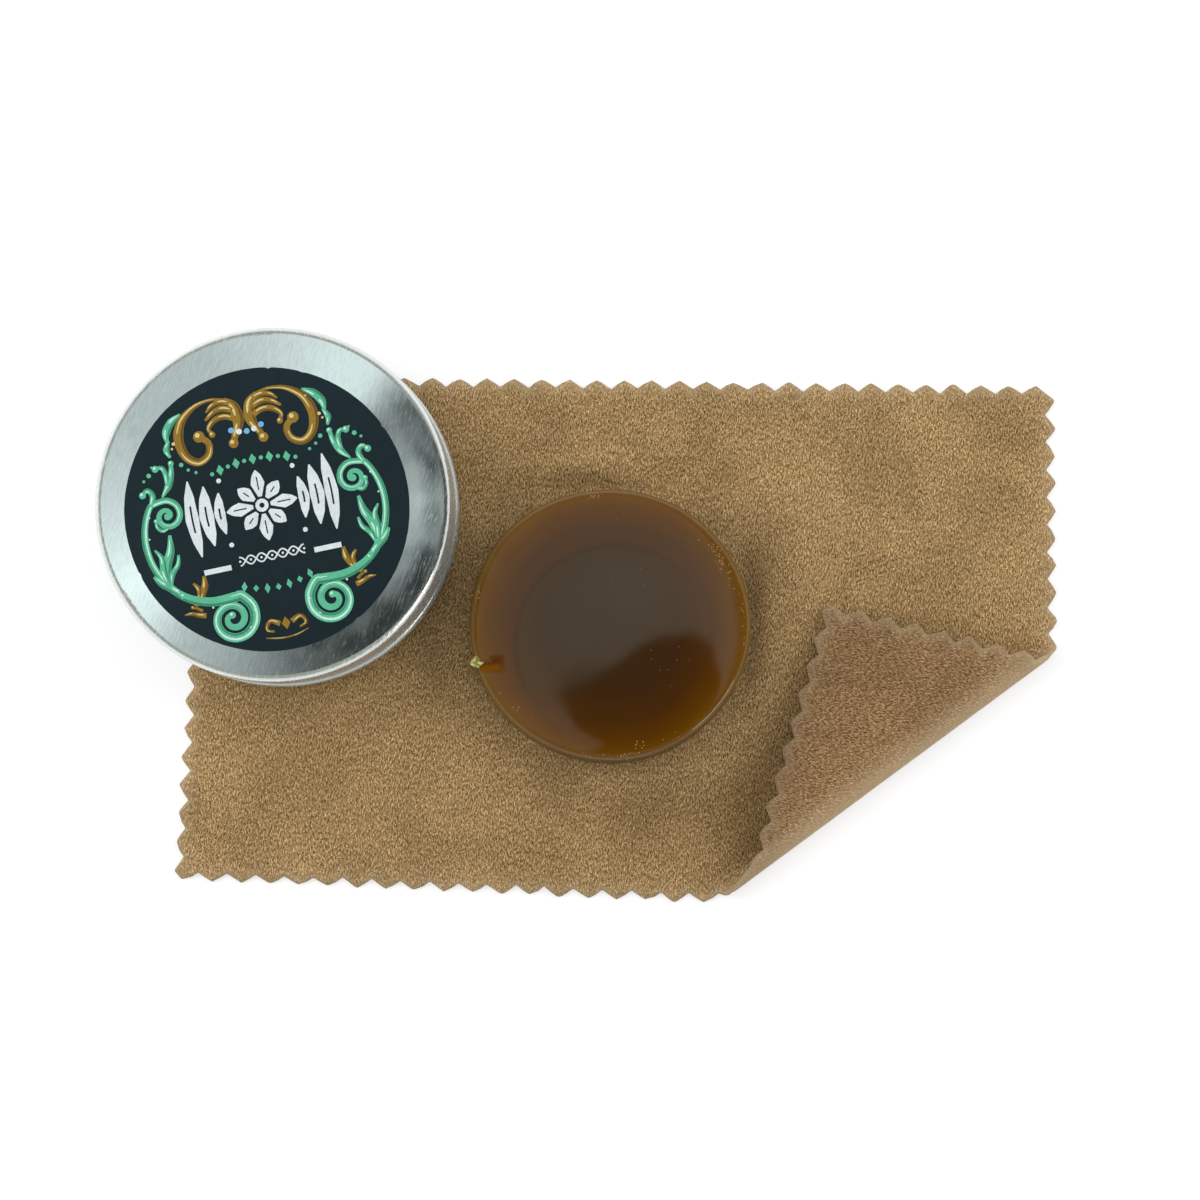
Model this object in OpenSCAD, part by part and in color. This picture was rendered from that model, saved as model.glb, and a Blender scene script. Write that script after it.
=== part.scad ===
// Rosin cake for a double bass, lying on its polishing cloth beside its slip-lid tin.
// Millimetres. +X runs along the cloth, +Y towards its back edge, +Z up.
// The origin is the middle of the whole set's box, on the surface that the cloth lies on.

/* [Rosin cake] */
// Diameter of the cake at its foot
cake_d = 49.4; // [40:0.1:52]
// Height of the cake
cake_h = 13; // [8:0.5:18]
// How much narrower the cake is at its top, on each side
cake_draft = 0.7; // [0.2:0.1:2]
// Radius of the rounded top rim of the cake
cake_rim_r = 1.2; // [0.5:0.1:2]

/* [Tin] */
// Outer diameter of the lid
tin_d = 61; // [56:0.5:70]
// Height of the closed tin
tin_h = 20; // [18:0.5:26]
// Thickness of the tinplate
plate_t = 0.3; // [0.2:0.05:0.4]
// Gap between the lid's skirt and the wall of the base
slip_gap = 0.3; // [0.1:0.05:0.5]
// Height of the lid, from its top to the lower edge of its skirt
lid_h = 12; // [9:0.5:13]
// Radius of the lid's rounded shoulder
shoulder_r = 1.5; // [0.8:0.1:2.5]
// Radius of the base's rounded lower corner
foot_r = 1.5; // [0.8:0.1:2.5]
// Radius of the stop bead that runs round the base
bead_r = 1.2; // [0.8:0.1:1.4]
// Radius of the curl along the base's mouth
curl_r = 0.6; // [0.4:0.05:0.8]
// Diameter of the raised panel in the base's floor
panel_d = 48; // [40:1:52]
// Height of the raised panel in the base's floor
panel_h = 0.5; // [0.3:0.1:1]

/* [Label] */
// Diameter of the round label on the lid
label_d = 48.6; // [40:0.2:52]
// Thickness of the label
label_t = 0.15; // [0.1:0.05:0.3]
// How far the label is stuck off the middle of the lid, along X
label_off_x = -0.9; // [-2:0.1:2]
// How far the label is stuck off the middle of the lid, along Y
label_off_y = -0.9; // [-2:0.1:2]

/* [Cloth] */
// Length of the cloth's back edge
cloth_back_w = 152.5; // [145:0.5:160]
// Length of the cloth's front edge, before its corner is folded
cloth_front_w = 158; // [150:0.5:166]
// Depth of the cloth at its left edge
cloth_left_d = 90.5; // [86:0.5:96]
// Depth of the cloth at its right edge, before its corner is folded
cloth_right_d = 94.5; // [90:0.5:100]
// Thickness of the cloth
cloth_t = 0.8; // [0.5:0.1:1]
// Turn of the cloth on its surface, in degrees
cloth_turn = -1.5; // [-3:0.5:3]
// Spacing of the pinked teeth
tooth_pitch = 5; // [3:0.5:7]
// Depth of the pinked teeth
tooth_depth = 1.7; // [1:0.1:2.5]

/* [Folded corner] */
// Length of the front edge that is folded over
fold_run = 65.5; // [60:0.5:68]
// Turn of the fold line from the cloth's length, in degrees
fold_turn = 37.8; // [36:0.1:40]
// Outer radius of the soft roll where the corner folds over
fold_r = 3; // [2.5:0.1:3.5]
// How far the folded corner is cut in along the front edge
corner_in_x = 3.4; // [0:0.2:5]
// How far the folded corner is cut in along the right edge
corner_in_y = 2.5; // [0:0.1:4]

/* [Layout] */
// Middle of the tin from the middle of the cloth, along X
tin_x = -60.2; // [-64:0.1:-58]
// Middle of the tin from the middle of the cloth, along Y
tin_y = 22.1; // [18:0.1:26]
// Middle of the cake from the middle of the cloth, along X
cake_x = -2.6; // [-4:0.1:2]
// Middle of the cake from the middle of the cloth, along Y
cake_y = 1.8; // [-2:0.1:4]

/* [Hidden] */
$fn = 96;
section_fn = 40;
lot = 300;

lid_r = tin_d / 2;
lid_inner_r = lid_r - plate_t;
base_r = lid_inner_r - slip_gap;
base_inner_r = base_r - plate_t;
rim_gap = 0.1;
base_h = tin_h - plate_t - rim_gap;
skirt_z = tin_h - lid_h;
bead_z = skirt_z - slip_gap - bead_r;
bead_reach = base_r + bead_r;

// Corners of the flat cloth about its middle, as its straight edges would meet
back_left = [-cloth_back_w / 2, cloth_left_d / 2];
back_right = [cloth_back_w / 2, cloth_right_d / 2];
front_right = [cloth_front_w / 2, -cloth_right_d / 2];
front_left = [-cloth_front_w / 2, -cloth_left_d / 2];

// The fold frame: x runs up the fold line, y points into the cloth, and y = 0 is where it lifts
function edge_turn(a, b) = atan2(b.y - a.y, b.x - a.x);
function along(p, turn, run) = p + run * [cos(turn), sin(turn)];
front_turn = edge_turn(front_left, front_right);
right_turn = edge_turn(front_right, back_right);
front_meet = fold_turn - front_turn;
right_meet = right_turn - fold_turn;
fold_start = along(front_right, front_turn, -fold_run);
fold_len = fold_run * sin(right_turn - front_turn) / sin(right_meet);
fold_end = along(fold_start, fold_turn, fold_len);
folded_corner = front_right + [-corner_in_x, corner_in_y];

// The cloth that goes round the roll, and the flap past it, which slopes down to its tip
roll_run = PI * (fold_r - cloth_t / 2);
flap_clear = 0.3;
flap_len = fold_run * sin(front_meet) - corner_in_y - roll_run;
flap_slope = asin((2 * (fold_r - cloth_t) - flap_clear) / (flap_len + fold_r));

// The set's box in plan, about the cloth's middle, and the move that centres it
function turned(p) = [
    p.x * cos(cloth_turn) - p.y * sin(cloth_turn),
    p.x * sin(cloth_turn) + p.y * cos(cloth_turn)
];
function roll_edge(run) = turned(along(along(fold_start, fold_turn, run), fold_turn - 90, fold_r));
roll_front = roll_edge(roll_run / 2 / tan(front_meet));
roll_right = roll_edge(fold_len - roll_run / 2 / tan(right_meet));
set_low = [tin_x - bead_reach, min(turned(fold_start).y, roll_front.y)];
set_high = [max(turned(back_right).x, roll_right.x), tin_y + bead_reach];
to_origin = -(set_low + set_high) / 2;

// Points of one pinked edge from a to b: a tip at each pitch and a valley between two tips
function edge_teeth(a, b) = round(norm(b - a) / tooth_pitch);
function inward(a, b) = [b.y - a.y, a.x - b.x] / norm(b - a);
function pinked_edge(a, b) = [
    for (i = [0 : 2 * edge_teeth(a, b) - 1])
        a + (b - a) * i / (2 * edge_teeth(a, b)) + inward(a, b) * (i % 2) * tooth_depth
];

module torus(ring_r, tube_r) {
    rotate_extrude()
        translate([ring_r, 0])
            circle(r = tube_r, $fn = section_fn);
}

// A round pan standing on z = 0 with its lower corner rounded
module round_pan(r, h, corner) {
    translate([0, 0, corner])
        cylinder(r = r, h = h - corner);
    translate([0, 0, corner])
        torus(r - corner, corner);
    cylinder(r = r - corner, h = h);
}

module on_cloth(x, y) {
    translate([x + to_origin.x, y + to_origin.y, cloth_t])
        children();
}

module cloth_outline() {
    corners = [back_left, back_right, fold_end, folded_corner, fold_start, front_left];
    polygon([
        for (i = [0 : 5])
            each pinked_edge(corners[i], corners[(i + 1) % 6])
    ]);
}

module fold_frame() {
    translate(fold_start)
        rotate(fold_turn)
            children();
}

module to_fold_frame() {
    rotate(-fold_turn)
        translate(-fold_start)
            children();
}

// The part of the cloth that stays flat, in the fold frame
module flat_sheet() {
    intersection() {
        linear_extrude(cloth_t)
            to_fold_frame()
                cloth_outline();
        translate([-lot, 0, -1])
            cube([2 * lot, lot, lot]);
    }
}

// Half of the fold's tube, on the outer side of the lifting line
module half_roll() {
    intersection() {
        rotate([0, 90, 0])
            difference() {
                cylinder(r = fold_r, h = lot);
                translate([0, 0, -1])
                    cylinder(r = fold_r - cloth_t, h = lot + 2);
            }
        translate([-1, -lot, -lot])
            cube([lot + 2, lot, 2 * lot]);
    }
}

// The soft roll of the fold: its ends slant, because the pinked edges cross it slanting
module fold_roll() {
    intersection() {
        translate([0, 0, fold_r]) {
            half_roll();
            rotate([-flap_slope, 0, 0])
                half_roll();
        }
        translate([0, lot / 2, 0])
            rotate([90, 0, 0])
                linear_extrude(lot)
                    polygon([
                        [0, -1],
                        [fold_len, -1],
                        [fold_len - roll_run / tan(right_meet), 2 * fold_r + 1],
                        [roll_run / tan(front_meet), 2 * fold_r + 1]
                    ]);
    }
}

// The folded corner, lying back over the sheet and sloping down to its tip
module flap() {
    translate([0, 0, fold_r])
        rotate([-flap_slope, 0, 0])
            translate([0, 0, fold_r - cloth_t])
                intersection() {
                    linear_extrude(cloth_t)
                        translate([0, -roll_run])
                            mirror([0, 1])
                                to_fold_frame()
                                    cloth_outline();
                    translate([-lot, 0, -1])
                        cube([2 * lot, lot, lot]);
                }
}

module polishing_cloth() {
    color([0.55, 0.42, 0.27])
        translate([to_origin.x, to_origin.y, 0])
            rotate(cloth_turn)
                fold_frame() {
                    flat_sheet();
                    fold_roll();
                    flap();
                }
}

module rosin_cake() {
    foot = cake_d / 2;
    top = foot - cake_draft;
    color([0.3, 0.15, 0.05])
        on_cloth(cake_x, cake_y) {
            cylinder(r1 = foot, r2 = top, h = cake_h - cake_rim_r);
            translate([0, 0, cake_h - cake_rim_r])
                torus(top - cake_rim_r, cake_rim_r);
            cylinder(r = top - cake_rim_r, h = cake_h);
        }
}

module tin_base() {
    color([0.72, 0.74, 0.74])
        on_cloth(tin_x, tin_y) {
            difference() {
                union() {
                    round_pan(base_r, base_h - curl_r, foot_r);
                    translate([0, 0, bead_z])
                        torus(base_r, bead_r);
                }
                translate([0, 0, plate_t])
                    round_pan(base_inner_r, base_h, foot_r - plate_t);
                translate([0, 0, bead_z])
                    torus(base_r, bead_r - plate_t);
                translate([0, 0, -1])
                    cylinder(d = panel_d, h = 1 + plate_t + 1);
            }
            translate([0, 0, panel_h])
                cylinder(d = panel_d + 2 * plate_t, h = plate_t);
            difference() {
                cylinder(d = panel_d + 2 * plate_t, h = panel_h + plate_t);
                translate([0, 0, -1])
                    cylinder(d = panel_d, h = panel_h + plate_t + 2);
            }
            translate([0, 0, base_h - curl_r])
                torus(base_r - curl_r, curl_r);
        }
}

module tin_lid() {
    color([0.78, 0.8, 0.8])
        on_cloth(tin_x, tin_y)
            translate([0, 0, tin_h])
                mirror([0, 0, 1])
                    difference() {
                        round_pan(lid_r, lid_h, shoulder_r);
                        translate([0, 0, plate_t])
                            round_pan(lid_inner_r, lid_h, shoulder_r - plate_t);
                    }
}

module lid_label() {
    color([0.08, 0.1, 0.11])
        on_cloth(tin_x + label_off_x, tin_y + label_off_y)
            translate([0, 0, tin_h])
                cylinder(d = label_d, h = label_t);
}

polishing_cloth();
rosin_cake();
tin_base();
tin_lid();
lid_label();
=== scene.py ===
"""Looks for the rosin cake, its polishing cloth and its slip-lid tin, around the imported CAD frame."""

import random
from math import atan2, cos, exp, hypot, pi, radians, sin, tan

import bpy
import numpy as np
from mathutils import Matrix, Vector, noise
from mathutils.geometry import delaunay_2d_cdt


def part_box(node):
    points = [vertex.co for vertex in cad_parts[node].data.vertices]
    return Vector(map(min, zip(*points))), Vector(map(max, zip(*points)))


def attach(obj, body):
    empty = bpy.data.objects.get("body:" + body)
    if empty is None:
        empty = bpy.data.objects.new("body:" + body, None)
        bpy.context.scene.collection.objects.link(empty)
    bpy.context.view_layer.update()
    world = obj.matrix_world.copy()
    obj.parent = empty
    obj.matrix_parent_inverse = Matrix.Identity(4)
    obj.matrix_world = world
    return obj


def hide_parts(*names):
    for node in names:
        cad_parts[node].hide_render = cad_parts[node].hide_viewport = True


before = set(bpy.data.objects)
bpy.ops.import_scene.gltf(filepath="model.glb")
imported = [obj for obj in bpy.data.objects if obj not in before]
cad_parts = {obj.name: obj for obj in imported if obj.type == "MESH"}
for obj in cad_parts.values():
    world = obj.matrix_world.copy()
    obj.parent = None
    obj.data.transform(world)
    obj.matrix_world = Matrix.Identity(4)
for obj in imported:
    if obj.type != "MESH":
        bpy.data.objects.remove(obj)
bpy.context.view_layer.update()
MM = 0.001
scene = bpy.context.scene
draw = random.Random(7)


def centre_of(name):
    """Middle of a CAD node's box in plan, in mm, with its lowest and highest z."""
    low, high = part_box(name)
    mid = (low + high) / 2 / MM
    return np.array([mid.x, mid.y]), low.z / MM, high.z / MM


CAKE, CAKE_FOOT, CAKE_TOP = centre_of("rosin_cake")
TIN, _, _ = centre_of("tin_base")
LABEL, LABEL_FOOT, LABEL_TOP = centre_of("lid_label")

# -------------------- camera and helpers

CAMERA = np.array([2.2, -16.5, 400.0])
AIM = np.array([2.62, 3.48, 0.0])
FIELD_OF_VIEW = radians(30.108)
SENSOR = 36.0


def add_camera():
    """The photograph's view: almost straight down, a little in front of the middle."""
    data = bpy.data.cameras.new("camera")
    data.sensor_width = SENSOR
    data.lens = SENSOR / 2 / tan(FIELD_OF_VIEW / 2)
    data.clip_start = 0.01
    camera = bpy.data.objects.new("camera", data)
    scene.collection.objects.link(camera)
    camera.location = Vector(CAMERA) * MM
    forward = (Vector(AIM) * MM - camera.location).normalized()
    right = forward.cross(Vector((0, 1, 0))).normalized()
    axes = Matrix((right, right.cross(forward), -forward)).transposed()
    camera.rotation_euler = axes.to_euler()
    scene.camera = camera


def link_mesh(name, points, faces, smooth=True):
    """A mesh object from points in mm and faces of any size."""
    mesh = bpy.data.meshes.new(name)
    faces = [tuple(int(i) for i in face) for face in faces]
    mesh.from_pydata([tuple(p) for p in np.asarray(points, float) * MM], [], faces)
    mesh.update()
    mesh.polygons.foreach_set("use_smooth", [smooth] * len(mesh.polygons))
    obj = bpy.data.objects.new(name, mesh)
    scene.collection.objects.link(obj)
    return obj


def new_material(name):
    mat = bpy.data.materials.new(name)
    mat.use_nodes = True
    return mat, mat.node_tree, mat.node_tree.nodes["Principled BSDF"]


def feed(tree, node, inputs):
    """Give a node's inputs their values: numbers, colours or other nodes' outputs."""
    for key, value in inputs.items():
        if isinstance(value, bpy.types.NodeSocket):
            tree.links.new(value, node.inputs[key])
        else:
            node.inputs[key].default_value = value


def put(tree, kind, inputs=None, **settings):
    """A node with its settings and inputs."""
    made = tree.nodes.new(kind)
    for key, value in settings.items():
        setattr(made, key, value)
    feed(tree, made, inputs or {})
    return made


def attribute(tree, name, output="Fac"):
    return put(tree, "ShaderNodeAttribute", attribute_name=name).outputs[output]


def bump_of(tree, height, strength, distance, under=None):
    """A bumped normal, on top of another bump's normal if there is one."""
    inputs = {"Strength": strength, "Distance": distance, "Height": height}
    if under is not None:
        inputs["Normal"] = under
    return put(tree, "ShaderNodeBump", inputs).outputs[0]


def ramp(tree, fac, stops, interpolation="LINEAR"):
    """A colour ramp over fac, from (place, colour or grey) stops."""
    made = put(tree, "ShaderNodeValToRGB", {"Fac": fac})
    made.color_ramp.interpolation = interpolation
    elements = made.color_ramp.elements
    while len(elements) < len(stops):
        elements.new(0.5)
    for element, (place, colour) in zip(elements, stops):
        element.position = place
        rgb = colour if hasattr(colour, "__len__") else (colour,) * 3
        element.color = (*rgb, 1.0)
    return made.outputs["Color"]


def maths(tree, operation, a, b):
    return put(tree, "ShaderNodeMath", {0: a, 1: b}, operation=operation).outputs[0]


def times(tree, a, b):
    return maths(tree, "MULTIPLY", a, b)


def plus(tree, a, b):
    return maths(tree, "ADD", a, b)


def mix(tree, fac, a, b, blend="MIX"):
    """Two colours mixed, through the mix node's colour sockets."""
    a, b = (c if isinstance(c, bpy.types.NodeSocket) else (*c, 1.0) for c in (a, b))
    made = put(tree, "ShaderNodeMix", {0: fac, 6: a, 7: b}, data_type="RGBA", blend_type=blend)
    return made.outputs[2]


def tinted(tree, tone, by):
    return mix(tree, 1.0, tone, by, "MULTIPLY")


def noise_of(tree, vector, scale, detail=2.0, roughness=0.5, distortion=0.0):
    return put(
        tree,
        "ShaderNodeTexNoise",
        {"Vector": vector, "Scale": scale, "Detail": detail,
         "Roughness": roughness, "Distortion": distortion},
    ).outputs["Fac"]


def placed(tree, vector, scale=(1, 1, 1), turn=(0, 0, 0), move=(0, 0, 0)):
    return put(
        tree,
        "ShaderNodeMapping",
        {"Vector": vector, "Scale": scale, "Rotation": turn, "Location": move},
    ).outputs["Vector"]


def in_millimetres(tree, move=(0, 0, 0)):
    """Object coordinates in mm, for a material that is laid out on a part."""
    where = put(tree, "ShaderNodeTexCoord").outputs["Object"]
    return placed(tree, where, scale=(1000, 1000, 1000), move=move)


def unit(v):
    return np.asarray(v, float) / np.linalg.norm(v)


def turn_by(p, angle):
    c, s = cos(angle), sin(angle)
    p = np.asarray(p, float)
    return np.stack([p[..., 0] * c - p[..., 1] * s, p[..., 0] * s + p[..., 1] * c], -1)


def inside(points, loop):
    """Which points lie inside a closed loop."""
    x, y = points[:, 0], points[:, 1]
    hit = np.zeros(len(points), bool)
    for (x0, y0), (x1, y1) in zip(loop, np.roll(loop, -1, 0)):
        if y0 == y1:
            continue
        crosses = (y0 > y) != (y1 > y)
        hit ^= crosses & (x < (x1 - x0) * (y - y0) / (y1 - y0) + x0)
    return hit


def distance_to(points, loop):
    """Distance from each point to a closed loop."""
    best = np.full(len(points), 1e9)
    for a, b in zip(loop, np.roll(loop, -1, 0)):
        d = b - a
        t = np.clip(((points - a) @ d) / max(d @ d, 1e-9), 0, 1)
        best = np.minimum(best, np.linalg.norm(points - a - t[:, None] * d, axis=1))
    return best


def facing_up(points, faces):
    """The same triangles, all wound anticlockwise in plan."""
    a, b, c = (points[faces[:, i]] for i in range(3))
    area = (b - a)[:, 0] * (c - a)[:, 1] - (b - a)[:, 1] * (c - a)[:, 0]
    return np.where((area > 0)[:, None], faces, faces[:, ::-1])


def triangulated(loop, inner, lines, margin):
    """Triangles over a closed loop, kept to its inner points and lines: (points, faces, rim)."""
    points = [Vector(p) for p in (*loop, *inner)]
    whole = [list(range(len(loop)))]
    coords, _, faces, origins, _, _ = delaunay_2d_cdt(points, lines, whole, 1, margin)
    place = {old: new for new, olds in enumerate(origins) for old in olds}
    coords, faces = np.array([tuple(c) for c in coords]), np.array(faces, int)
    return coords, facing_up(coords, faces), [place[i] for i in range(len(loop))]


def shell_faces(rings, segments, upwards):
    """Faces of a closed lump that is built of rings between two end points."""
    last = rings * segments + 1
    faces = []
    for k in range(segments):
        n = (k + 1) % segments
        faces.append((0, 1 + k, 1 + n))
        for ring in range(rings - 1):
            a, b = 1 + ring * segments, 1 + (ring + 1) * segments
            faces.append((a + k, b + k, b + n, a + n))
        faces.append((last - segments + k, last, last - segments + n))
    return [(f[0], *f[:0:-1]) for f in faces] if upwards else faces


def point_values(obj, name, values):
    """Store one number per point of a mesh, for its material to read."""
    layer = obj.data.attributes.new(name, "FLOAT", "POINT")
    layer.data.foreach_set("value", np.asarray(values, np.float32))


# -------------------- table, light and what is mirrored

FLOOR_HALF = 3000
FLOOR_DROP = 0.02  # keeps the table just clear of the cloth's underside


def add_floor():
    """A plain white table, lit through a little so that only faint shadows lie on it."""
    corners = [(x * FLOOR_HALF, y * FLOOR_HALF, 0) for x, y in ((-1, -1), (1, -1), (1, 1), (-1, 1))]
    floor = link_mesh("floor", corners, [(0, 1, 2, 3)], smooth=False)
    mat, tree, shader = new_material("floor_white")
    feed(tree, shader, {
        "Base Color": (0.45, 0.45, 0.45, 1),
        "Roughness": 0.9,
        "Specular IOR Level": 0.1,
        "Emission Color": (1, 1, 1, 1),
        "Emission Strength": 0.56,
    })
    floor.data.materials.append(mat)
    floor.location.z = -FLOOR_DROP * MM


# What the cake mirrors overhead, in mm on a plane above the table
CEILING_Z = 600
CEILING_HALF, CEILING_FINE_HALF = 1260, 300
CEILING_LEVEL, CEILING_FALL = 0.66, 0.0012
# Soft-edged dark shapes: outline, softness and depth
CAMERA_AND_ARM = (
    (-30, -22), (5, -9), (30, 6), (45, 15), (65, 15), (95, 2), (130, -40), (150, -220),
    (-30, -220), (-24, -150), (-4, -108), (-20, -76), (-31, -42),
)
DIM_END = ((150, -260), (1300, -260), (1300, 400), (175, 400), (150, 150))
DARK_SHAPES = ((CAMERA_AND_ARM, 5, 0.98), (DIM_END, 22, 0.75))
# Brighter spots: middle, half width, half height and gain
BRIGHT_SPOTS = ((25, 48, 38, 32, 0.16), (95, 60, 40, 60, 0.1), (132, 10, 26, 75, 0.2))
# What the lid mirrors: brightness by angle round the tin, in degrees, on a ring close above it
RING_Z = 32
RING_INNER, RING_OUTER = 20, 34
RING_DARKEST = 0.04
RING_GLOW = (
    (-180, 0.72), (-165, 0.86), (-150, 1.08), (-138, 0.92), (-125, 0.56), (-105, 0.4), (-90, 0.24),
    (-75, 0.1), (-45, 0.02), (-25, 0.05), (-8, 0.24), (2, 0.34), (12, 0.14), (35, 0.14), (42, 0.3),
    (52, 0.84), (65, 0.86), (90, 0.68), (115, 0.54), (150, 0.54), (180, 0.72),
)


def ceiling_glow(points):
    """How bright the mirrored ceiling is at points of its plane."""
    away = np.linalg.norm(points - (10, 40), axis=1)
    glow = CEILING_LEVEL - CEILING_FALL * np.clip(away - 80, 0, 250)
    for x, y, wide, high, gain in BRIGHT_SPOTS:
        glow += gain * np.exp(-(((points[:, 0] - x) / wide) ** 2) - ((points[:, 1] - y) / high) ** 2)
    for outline, soft, depth in DARK_SHAPES:
        outline = np.array(outline, float)
        gap = distance_to(points, outline) * np.where(inside(points, outline), 1, -1)
        share = np.clip(gap / (2 * soft) + 0.5, 0, 1)
        glow *= 1 - depth * share * share * (3 - 2 * share)
    return glow


def add_mirrored(name, points, faces, level, colour):
    """A glowing stage surface that only mirror reflections see."""
    panel = link_mesh(name, points, faces)
    point_values(panel, "glow", level)
    mat = bpy.data.materials.new(name)
    mat.use_nodes = True
    tree = mat.node_tree
    tree.nodes.clear()
    light = put(tree, "ShaderNodeEmission", {"Color": (*colour, 1), "Strength": attribute(tree, "glow")})
    put(tree, "ShaderNodeOutputMaterial", {"Surface": light.outputs[0]})
    panel.data.materials.append(mat)
    for ray in ("camera", "diffuse", "transmission", "volume_scatter", "shadow"):
        setattr(panel, "visible_" + ray, False)


def grid_faces(rows, columns):
    faces = []
    for j in range(rows - 1):
        for i in range(columns - 1):
            a = j * columns + i
            faces.append((a, a + 1, a + columns + 1, a + columns))
    return faces


def raised(plan, z):
    """Points of a plan, all at one height."""
    return np.concatenate([plan, np.full((len(plan), 1), z)], 1)


def add_ceiling():
    """The ceiling that the cake mirrors, with a fine grid over its middle."""
    lines = np.concatenate([
        np.arange(-CEILING_HALF, -CEILING_FINE_HALF, 120),
        np.arange(-CEILING_FINE_HALF, CEILING_FINE_HALF, 5),
        np.arange(CEILING_FINE_HALF, CEILING_HALF + 1, 120),
    ])
    x, y = np.meshgrid(lines, lines)
    plan = np.stack([x.ravel(), y.ravel()], 1)
    faces = grid_faces(len(lines), len(lines))
    add_mirrored("ceiling", raised(plan, CEILING_Z), faces, ceiling_glow(plan), (0.98, 1.02, 0.87))


def add_tin_ring():
    """The ring that the lid mirrors: its own outline, spread from the camera's mirrored place."""
    lid_top = LABEL_FOOT
    spread = (RING_Z - lid_top) / (CAMERA[2] - lid_top)
    radii = np.linspace(RING_INNER, RING_OUTER, 15)
    angles = np.linspace(-180, 180, 181)
    outward = np.stack([np.cos(np.radians(angles)), np.sin(np.radians(angles))], 1)
    level = np.interp(angles, *zip(*RING_GLOW))
    near_label = np.exp(-(((angles + 5) / 42) ** 4))
    dark_side = np.exp(-(((angles + 20) / 60) ** 4))
    plan, levels = [], []
    for radius in radii:
        rim = TIN + radius * outward
        plan.append(rim + spread * (rim - CAMERA[:2]))
        inner = 0.22 * np.clip((26.4 - radius) / 0.8, 0, 1) * near_label
        patch = [noise.noise((angle / 8, radius / 2.2, 6.0)) for angle in angles]
        patch = 0.16 * np.array(patch) * dark_side
        levels.append(np.maximum(level + inner + patch, RING_DARKEST))
    points = raised(np.concatenate(plan), RING_Z)
    faces = grid_faces(len(radii), len(angles))
    add_mirrored("tin_ring", points, faces, np.concatenate(levels), (0.86, 1.0, 0.98))


def add_window():
    """A small bright pane low on the right, which glints along the rims that face it."""
    away, across = unit((0.79, -0.61)), unit((0.61, 0.79))
    distance, half, sill, head = 350, 85, 160, 250
    points = [
        (*(CAKE + distance * away + side * across), height)
        for side, height in ((-half, sill), (half, sill), (half, head), (-half, head))
    ]
    add_mirrored("window_pane", points, [(0, 1, 2, 3)], np.full(4, 5.0), (1.0, 1.0, 0.96))


def add_light(name, place, size, power):
    """A soft box that shines at the middle of the table and is not mirrored itself."""
    data = bpy.data.lights.new(name, "AREA")
    data.shape = "RECTANGLE"
    data.size, data.size_y = size
    data.energy = power
    lamp = bpy.data.objects.new(name, data)
    scene.collection.objects.link(lamp)
    lamp.location = place
    lamp.rotation_euler = (-lamp.location).to_track_quat("-Z", "Y").to_euler()
    lamp.visible_glossy = False


def add_world():
    """Even light from all round, a little brighter where it is mirrored."""
    world = bpy.data.worlds.new("studio")
    world.use_nodes = True
    tree = world.node_tree
    mirrored = put(tree, "ShaderNodeLightPath").outputs["Is Glossy Ray"]
    level = plus(tree, times(tree, mirrored, 0.33), 0.45)
    feed(tree, tree.nodes["Background"], {"Color": (0.97, 0.99, 1.0, 1), "Strength": level})
    scene.world = world


add_camera()
add_world()
add_floor()
add_light("left_box", (-0.62, 0.12, 0.42), (0.5, 0.6), 3.0)
add_light("right_box", (0.62, 0.22, 0.46), (0.5, 0.6), 3.0)
add_light("top_box", (-0.1, 0.2, 0.8), (0.7, 0.7), 2.0)
add_ceiling()
add_tin_ring()
add_window()
scene.view_settings.view_transform = "Standard"

# -------------------- the polishing cloth

# The flat cut in its own frame, in mm, and where that frame lies on the table
CLOTH_MID = np.array([6.92, -3.22])
CLOTH_TURN = radians(-1.5)
CLOTH_T = 0.8
BACK_LEFT, BACK_RIGHT = np.array([-76.25, 45.25]), np.array([76.25, 47.25])
FRONT_RIGHT, FRONT_LEFT = np.array([79.0, -47.25]), np.array([-79.0, -45.25])
FOLDED_CORNER = FRONT_RIGHT + (-3.4, 2.5)  # the corner under the fold is cut a little short
FOLD_RUN = 65.5  # from the front right corner, along the front edge, to where the fold starts
FOLD_TURN = radians(37.8)
FOLD_R = 2.6
FLAP_SLOPE = radians(7.1)
HIDDEN_RIGHT, HIDDEN_FRONT = 4.0, 10.0  # run of each cut edge, past the fold line, inside the roll
TOOTH_DEPTH, TOOTH_WEAR = 1.45, 0.17
BACK_PATTERN = 40.0  # how far away the back's nap is taken from the face's, in the same noise
BACK_PITCH, FRONT_PITCH, FLAP_PITCH, LEFT_PITCH = 4.94, 5.15, 5.12, 5.05
FOLD_START = FRONT_RIGHT + FOLD_RUN * unit(FRONT_LEFT - FRONT_RIGHT)
FOLD_WAY = np.array([cos(FOLD_TURN), sin(FOLD_TURN)])
RIGHT_WAY = unit(BACK_RIGHT - FRONT_RIGHT)
FOLD_LENGTH = np.linalg.solve(np.stack([FOLD_WAY, -RIGHT_WAY], 1), FRONT_RIGHT - FOLD_START)[0]
FOLD_END = FOLD_START + FOLD_LENGTH * FOLD_WAY
ROLL_RUN = pi * FOLD_R


def along_path(path):
    """A function from run along a polyline to its point and outward (right-hand) normal."""
    path = [np.asarray(p, float) for p in path]
    lengths = [np.linalg.norm(b - a) for a, b in zip(path, path[1:])]

    def at(run):
        for a, b, length in zip(path, path[1:], lengths):
            if run <= length or b is path[-1]:
                d = (b - a) / length
                return a + d * run, np.array([-d[1], d[0]])
            run -= length

    return at, sum(lengths)


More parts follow.
